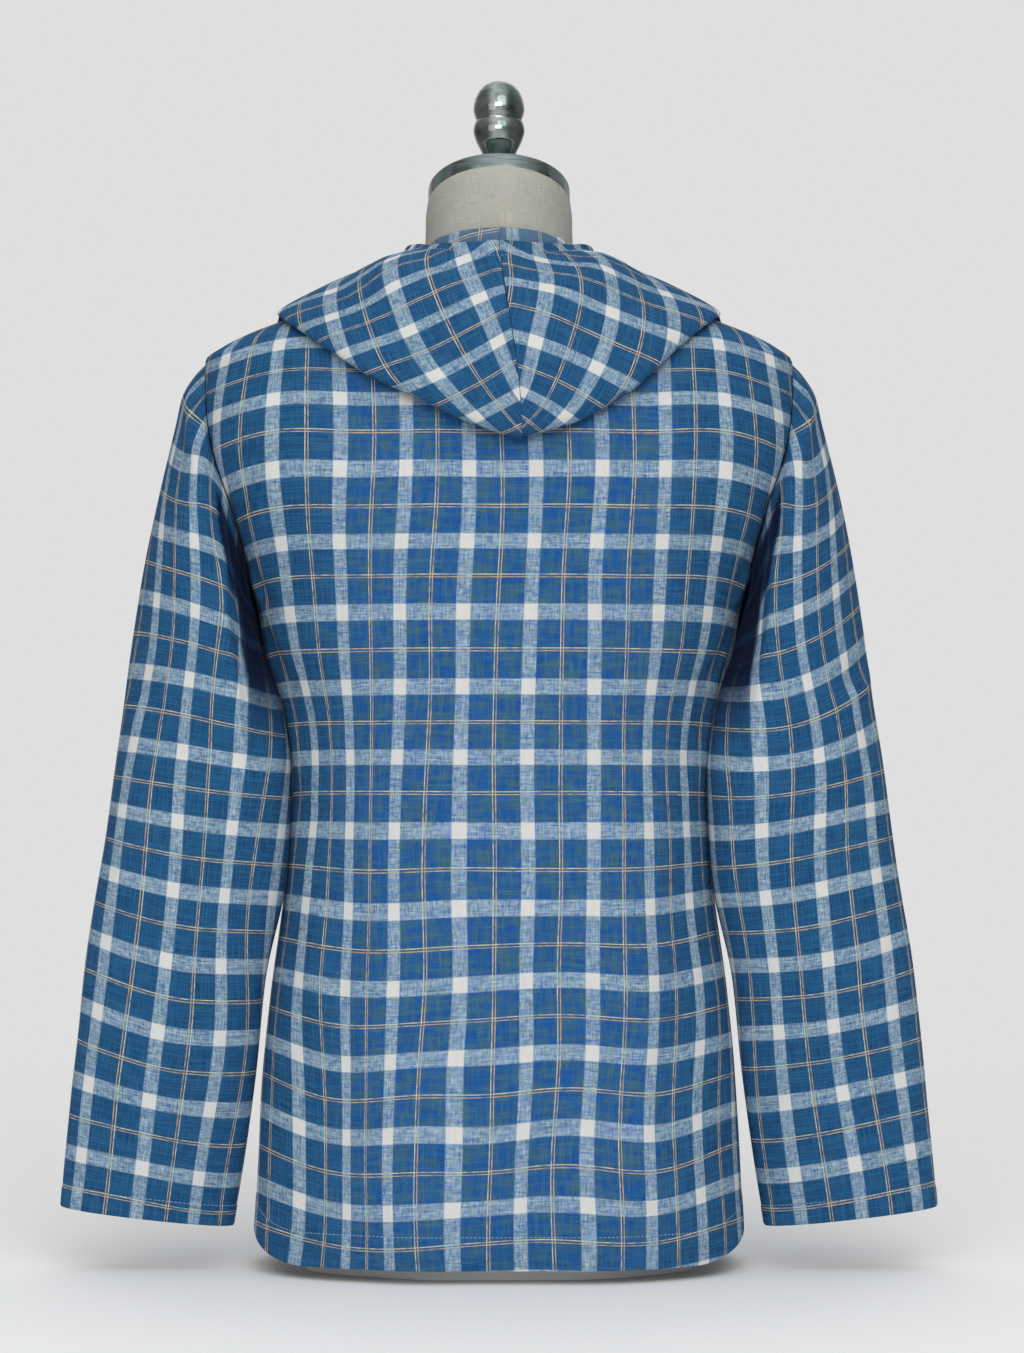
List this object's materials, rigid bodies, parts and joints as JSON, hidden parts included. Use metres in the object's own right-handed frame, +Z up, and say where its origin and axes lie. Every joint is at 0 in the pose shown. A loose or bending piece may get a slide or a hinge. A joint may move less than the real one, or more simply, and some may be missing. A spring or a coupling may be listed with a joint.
{
  "type": "hooded linen shirt on dress form",
  "caption": "Long-sleeved hooded shirt in plaid linen, buttoned at the front, hood thrown back, worn by a limbless dress form with a tilted neck cap and a turned finial",
  "frame": {"origin": "middle of the flat face under the form, on which the part stands", "axes": "+Z up along the neck, -Y is the way the shirt's front faces, +X is the wearer's left"},
  "size_m": [0.676, 0.2474, 0.9222],
  "materials": {
    "linen": "slubby plain-woven linen, blue with white bands and thin orange double lines",
    "canvas": "pale grey canvas stretched over the form",
    "brushed_ring": "brushed metal ring and lid of the neck",
    "finial_chrome": "polished turned knob",
    "button": "dark blue four-hole shirt buttons"
  },
  "bodies": {
    "root": {"form_body": "canvas", "neck_cap": "brushed_ring", "finial": "finial_chrome", "back": "linen", "front_left": "linen", "front_right": "linen", "sleeve_left": "linen", "sleeve_right": "linen", "hood_left": "linen", "hood_right": "linen", "button_1": "button", "button_2": "button", "button_3": "button", "button_4": "button", "button_5": "button", "button_6": "button", "button_7": "button"}
  },
  "joints": []
}
